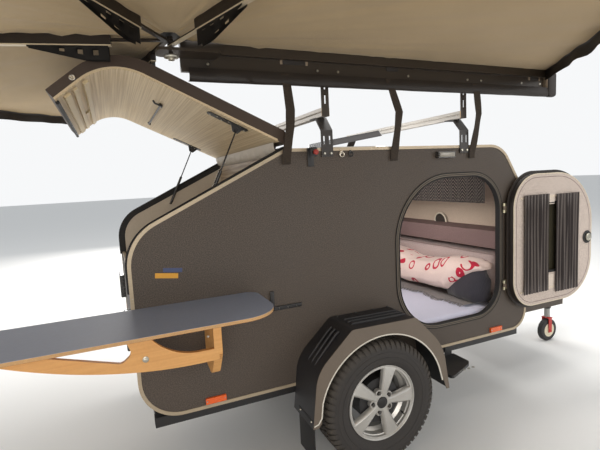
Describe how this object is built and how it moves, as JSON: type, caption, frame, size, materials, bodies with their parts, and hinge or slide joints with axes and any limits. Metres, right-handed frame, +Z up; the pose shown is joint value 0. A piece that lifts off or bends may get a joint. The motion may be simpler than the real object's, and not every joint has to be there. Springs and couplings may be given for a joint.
{
  "type": "teardrop camping trailer",
  "caption": "Small single-axle teardrop camping trailer with a raised rear hatch, an open side door, a side table and a fan awning.",
  "frame": {"origin": "centre of the tow ball's socket in the coupling head", "axes": "+X forward, towards the tow vehicle; +Y to the trailer's left; +Z up"},
  "size_m": [6.1371, 4.7373, 2.232],
  "materials": {
    "dark_panel": "matte",
    "light_panel": "matte",
    "plywood": "satin",
    "laminate": "satin",
    "trim_aluminium": "satin",
    "bare_aluminium": "satin",
    "black_steel": "satin",
    "galvanised": "satin",
    "bright_steel": "satin",
    "dark_plastic": "matte",
    "smoked_plastic": "gloss",
    "lamp_plastic": "gloss",
    "alloy": "satin",
    "tyre": "matte",
    "wheel_rubber": "matte",
    "window": "gloss",
    "felt": "matte",
    "canvas": "matte",
    "bedding": "matte",
    "cushion": "matte",
    "box_steel": "satin"
  },
  "bodies": {
    "trailer": {"awning_back_plate": "black_steel", "awning_canopy": "canvas", "awning_pivot": "black_steel", "bolster": "cushion", "chassis_frame": "galvanised", "coupling_head": "black_steel", "door_frames": "trim_aluminium", "door_hinges": "bare_aluminium", "duvet": "bedding", "edge_trims": "trim_aluminium", "entry_step": "black_steel", "fender_left": "dark_plastic", "fender_right": "dark_plastic", "floor_panel": "dark_panel", "galley_bulkhead": "light_panel", "galley_units": "plywood", "hatch_mountings": "bare_aluminium", "mattress": "bedding", "nose_shelf": "light_panel", "rack_crossbars": "bare_aluminium", "rack_feet": "black_steel", "rear_panel": "dark_panel", "roof_and_nose": "light_panel", "roof_vent_frame": "dark_plastic", "side_lights": "lamp_plastic", "side_table_bracket": "plywood", "side_table_top": "laminate", "side_wall_left": "dark_panel", "side_wall_right": "dark_panel", "tail_lights": "lamp_plastic", "tongue_box": "box_steel", "torsion_axle": "galvanised"},
    "hatch": {"hatch_shell": "dark_panel", "hatch_lining": "light_panel", "hatch_fittings": "bare_aluminium"},
    "strut_cylinder_right": {"strut_cylinder_right": "black_steel"},
    "strut_rod_right": {"strut_rod_right": "bright_steel"},
    "strut_cylinder_left": {"strut_cylinder_left": "black_steel"},
    "strut_rod_left": {"strut_rod_left": "bright_steel"},
    "door_right": {"door_right": "dark_panel", "door_lining_right": "felt", "door_window_right": "window"},
    "door_left": {"door_left": "dark_panel", "door_lining_left": "felt", "door_window_left": "window"},
    "wheel_right": {"tyre_right": "tyre", "rim_right": "alloy"},
    "wheel_left": {"tyre_left": "tyre", "rim_left": "alloy"},
    "jockey_leg": {"jockey_leg": "galvanised"},
    "jockey_wheel": {"jockey_wheel": "wheel_rubber"},
    "tongue_box_lid": {"tongue_box_lid": "box_steel"},
    "roof_vent_lid": {"roof_vent_lid": "smoked_plastic"},
    "awning_arm_1": {"awning_arm_1": "bare_aluminium"},
    "awning_arm_2": {"awning_arm_2": "bare_aluminium"},
    "awning_arm_3": {"awning_arm_3": "bare_aluminium"},
    "awning_arm_4": {"awning_arm_4": "bare_aluminium"}
  },
  "joints": [
    {"name": "hatch_hinge", "type": "hinge", "parent": "trailer", "child": "hatch", "pos_m": [-3.144, 0, 1.341], "axis": [0, 1, 0], "range_deg": [-51, 0]},
    {"name": "strut_turn_right", "type": "hinge", "parent": "trailer", "child": "strut_cylinder_right", "pos_m": [-3.57, -0.648, 1.04], "axis": [0, 1, 0], "range_deg": [0, 23.6]},
    {"name": "strut_slide_right", "type": "slide", "parent": "strut_cylinder_right", "child": "strut_rod_right", "axis": [0.4251, 0, 0.9051], "range_m": [-0.173, 0]},
    {"name": "strut_turn_left", "type": "hinge", "parent": "trailer", "child": "strut_cylinder_left", "pos_m": [-3.57, 0.648, 1.04], "axis": [0, 1, 0], "range_deg": [0, 23.6]},
    {"name": "strut_slide_left", "type": "slide", "parent": "strut_cylinder_left", "child": "strut_rod_left", "axis": [0.4251, 0, 0.9051], "range_m": [-0.173, 0]},
    {"name": "door_hinge_right", "type": "hinge", "parent": "trailer", "child": "door_right", "pos_m": [-1.597, -0.716, 0.653], "axis": [0, 0, 1], "range_deg": [-180, 0]},
    {"name": "door_hinge_left", "type": "hinge", "parent": "trailer", "child": "door_left", "pos_m": [-1.597, 0.716, 0.653], "axis": [0, 0, 1], "range_deg": [-180, 0]},
    {"name": "wheel_spin_right", "type": "hinge", "parent": "trailer", "child": "wheel_right", "pos_m": [-2.738, -0.8325, -0.055], "axis": [0, 1, 0], "continuous": true},
    {"name": "wheel_spin_left", "type": "hinge", "parent": "trailer", "child": "wheel_left", "pos_m": [-2.738, 0.8325, -0.055], "axis": [0, 1, 0], "continuous": true},
    {"name": "jockey_swivel", "type": "hinge", "parent": "trailer", "child": "jockey_leg", "pos_m": [-0.45, -0.19, 0.03], "axis": [0, 0, 1], "continuous": true},
    {"name": "jockey_spin", "type": "hinge", "parent": "jockey_leg", "child": "jockey_wheel", "pos_m": [-0.45, -0.19, -0.3], "axis": [0, 1, 0], "continuous": true},
    {"name": "tongue_box_lid_hinge", "type": "hinge", "parent": "trailer", "child": "tongue_box_lid", "pos_m": [-1.293, 0, 0.405], "axis": [0, -1, 0], "range_deg": [0, 80]},
    {"name": "roof_vent_hinge", "type": "hinge", "parent": "trailer", "child": "roof_vent_lid", "pos_m": [-2.608, 0, 1.386], "axis": [0, -1, 0], "range_deg": [-9, 50]},
    {"name": "awning_swing_1", "type": "hinge", "parent": "trailer", "child": "awning_arm_1", "pos_m": [-3.7, -0.82, 1.77], "axis": [0, 0, 1], "range_deg": [0, 60], "deforming": ["awning_canopy"]},
    {"name": "awning_swing_2", "type": "hinge", "parent": "awning_arm_1", "child": "awning_arm_2", "pos_m": [-3.7, -0.82, 1.77], "axis": [0, 0, 1], "range_deg": [0, 46]},
    {"name": "awning_swing_3", "type": "hinge", "parent": "awning_arm_2", "child": "awning_arm_3", "pos_m": [-3.7, -0.82, 1.77], "axis": [0, 0, 1], "range_deg": [0, 58]},
    {"name": "awning_swing_4", "type": "hinge", "parent": "awning_arm_3", "child": "awning_arm_4", "pos_m": [-3.7, -0.82, 1.77], "axis": [0, 0, 1], "range_deg": [0, 58.5]}
  ],
  "couplings": [
    {"joint": "strut_turn_right", "follows": "hatch_hinge", "ratio": -0.46186},
    {"joint": "strut_slide_right", "follows": "hatch_hinge", "m_per_rad": 0.19405},
    {"joint": "strut_turn_left", "follows": "hatch_hinge", "ratio": -0.46186},
    {"joint": "strut_slide_left", "follows": "hatch_hinge", "m_per_rad": 0.19405},
    {"joint": "awning_swing_2", "follows": "awning_swing_1", "ratio": 0.76667},
    {"joint": "awning_swing_3", "follows": "awning_swing_1", "ratio": 0.96667},
    {"joint": "awning_swing_4", "follows": "awning_swing_1", "ratio": 0.975}
  ]
}
